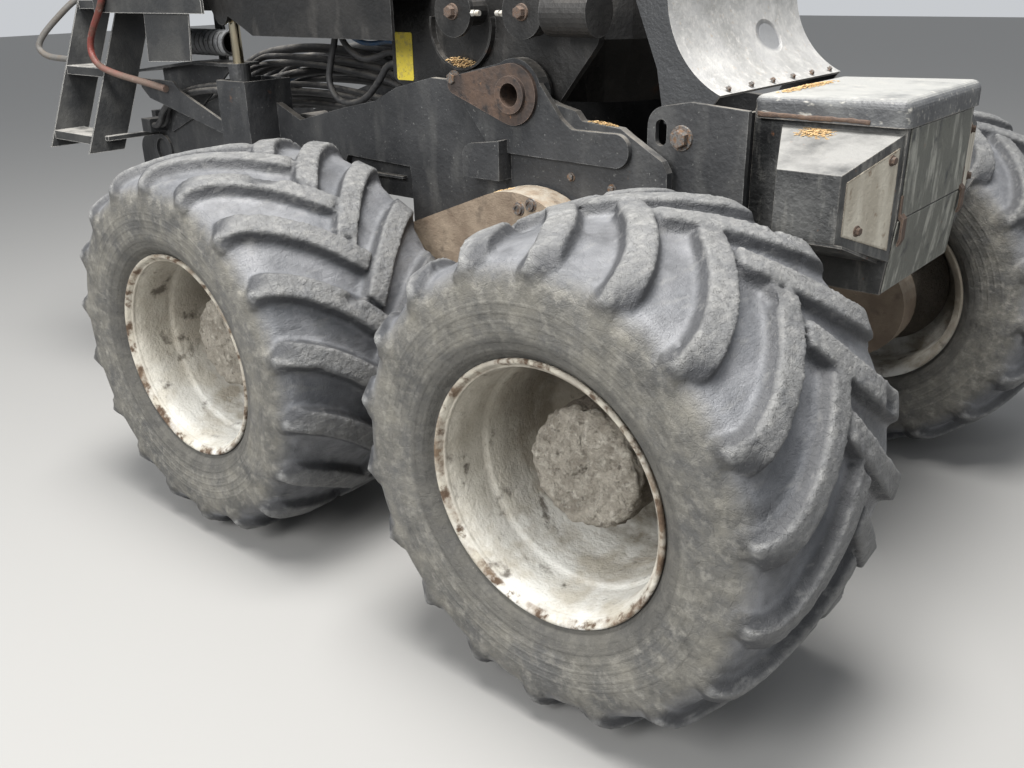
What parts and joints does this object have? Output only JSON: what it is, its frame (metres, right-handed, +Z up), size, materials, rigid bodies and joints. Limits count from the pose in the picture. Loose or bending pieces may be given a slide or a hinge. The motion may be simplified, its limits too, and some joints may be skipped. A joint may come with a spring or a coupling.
{
  "type": "forestry harvester front carriage",
  "caption": "Front carriage of a forestry harvester: frame on tandem bogies with lugged tyres, tilting crane base and cab deck, levelling cylinders, toolbox and ladder.",
  "frame": {"origin": "centre of the vertical articulation bore, midway between the two yoke ears", "axes": "+X forward, +Y to the machine's left, +Z up along the articulation bore"},
  "size_m": [4.3706, 2.885, 1.97],
  "materials": {
    "tyre_rubber": "worn matte",
    "rim_paint": "dirty worn paint",
    "hub_iron": "muddy",
    "case_iron": "rusty",
    "frame_paint": "dusty satin",
    "box_paint": "scratched",
    "bare_steel": "worn bare",
    "hose_rubber": "satin",
    "duct_rubber": "dusty",
    "rail_paint": "worn paint",
    "rod_chrome": "polished"
  },
  "bodies": {
    "frame": {"frame_side_right": "frame_paint", "frame_side_left": "frame_paint", "rear_cross_tube": "frame_paint", "belly_plate": "frame_paint", "front_beam": "frame_paint", "articulation_yoke": "frame_paint", "axle_housing": "case_iron", "tilt_pins": "bare_steel", "cylinder_housings": "frame_paint", "front_bracket": "frame_paint", "guard_plate": "bare_steel", "toolbox_body": "box_paint", "toolbox_latches": "bare_steel", "side_boxes": "box_paint", "ladder": "box_paint", "ladder_handle": "rim_paint", "entry_platform": "box_paint", "hose_tray": "frame_paint", "air_duct": "duct_rubber", "rail_bracket": "frame_paint", "handrail": "rail_paint", "hose_block": "frame_paint", "arm_hose_1": "hose_rubber", "arm_hose_2": "hose_rubber"},
    "bogie_right": {"bogie_case_right": "case_iron"},
    "wheel_front_right": {"hub_front_right": "hub_iron", "rim_front_right": "rim_paint", "tyre_front_right": "tyre_rubber"},
    "wheel_rear_right": {"hub_rear_right": "hub_iron", "rim_rear_right": "rim_paint", "tyre_rear_right": "tyre_rubber"},
    "bogie_left": {"bogie_case_left": "case_iron"},
    "wheel_front_left": {"hub_front_left": "hub_iron", "rim_front_left": "rim_paint", "tyre_front_left": "tyre_rubber"},
    "wheel_rear_left": {"hub_rear_left": "hub_iron", "rim_rear_left": "rim_paint", "tyre_rear_left": "tyre_rubber"},
    "tilt_frame": {"tilt_cheek_right": "frame_paint", "tilt_cheek_left": "frame_paint", "crane_pedestal": "frame_paint", "slewing_ring": "bare_steel", "base_cylinders": "frame_paint", "cab_deck": "frame_paint", "deck_hose_1": "hose_rubber", "deck_hose_2": "hose_rubber", "deck_hose_3": "hose_rubber"},
    "barrel_right": {"cylinder_barrel_right": "frame_paint"},
    "rod_right": {"cylinder_rod_right": "rod_chrome"},
    "barrel_left": {"cylinder_barrel_left": "frame_paint"},
    "rod_left": {"cylinder_rod_left": "rod_chrome"},
    "box_lid": {"toolbox_lid": "box_paint"}
  },
  "joints": [
    {"name": "bogie_right_swing", "type": "hinge", "parent": "frame", "child": "bogie_right", "pos_m": [2.67, -0.59, -0.205], "axis": [0, 1, 0], "range_deg": [-12, 12]},
    {"name": "wheel_front_right_spin", "type": "hinge", "parent": "bogie_right", "child": "wheel_front_right", "pos_m": [3.459, -0.795, -0.44], "axis": [0, 1, 0], "continuous": true},
    {"name": "wheel_rear_right_spin", "type": "hinge", "parent": "bogie_right", "child": "wheel_rear_right", "pos_m": [1.881, -0.795, -0.44], "axis": [0, 1, 0], "continuous": true},
    {"name": "bogie_left_swing", "type": "hinge", "parent": "frame", "child": "bogie_left", "pos_m": [2.67, 0.59, -0.205], "axis": [0, 1, 0], "range_deg": [-12, 12]},
    {"name": "wheel_front_left_spin", "type": "hinge", "parent": "bogie_left", "child": "wheel_front_left", "pos_m": [3.459, 0.795, -0.44], "axis": [0, 1, 0], "continuous": true},
    {"name": "wheel_rear_left_spin", "type": "hinge", "parent": "bogie_left", "child": "wheel_rear_left", "pos_m": [1.881, 0.795, -0.44], "axis": [0, 1, 0], "continuous": true},
    {"name": "frame_tilt", "type": "hinge", "parent": "frame", "child": "tilt_frame", "pos_m": [2.67, 0, 0.398], "axis": [0, 1, 0], "range_deg": [-6, 6]},
    {"name": "barrel_right_swing", "type": "hinge", "parent": "frame", "child": "barrel_right", "pos_m": [1.255, -0.59, 0.04], "axis": [0, 1, 0], "range_deg": [-2.6, 2.6]},
    {"name": "rod_right_slide", "type": "slide", "parent": "barrel_right", "child": "rod_right", "axis": [0, 0, 1], "range_m": [-0.1484, 0.1484]},
    {"name": "barrel_left_swing", "type": "hinge", "parent": "frame", "child": "barrel_left", "pos_m": [1.255, 0.59, 0.04], "axis": [0, 1, 0], "range_deg": [-2.6, 2.6]},
    {"name": "rod_left_slide", "type": "slide", "parent": "barrel_left", "child": "rod_left", "axis": [0, 0, 1], "range_m": [-0.1484, 0.1484]},
    {"name": "lid_hinge", "type": "hinge", "parent": "frame", "child": "box_lid", "pos_m": [3.404, 0, 0.383], "axis": [0, -1, 0], "range_deg": [0, 85]}
  ],
  "couplings": [
    {"joint": "barrel_right_swing", "follows": "frame_tilt", "ratio": 0.397},
    {"joint": "rod_right_slide", "follows": "frame_tilt", "m_per_rad": 1.4143},
    {"joint": "barrel_left_swing", "follows": "frame_tilt", "ratio": 0.397},
    {"joint": "rod_left_slide", "follows": "frame_tilt", "m_per_rad": 1.4143}
  ]
}
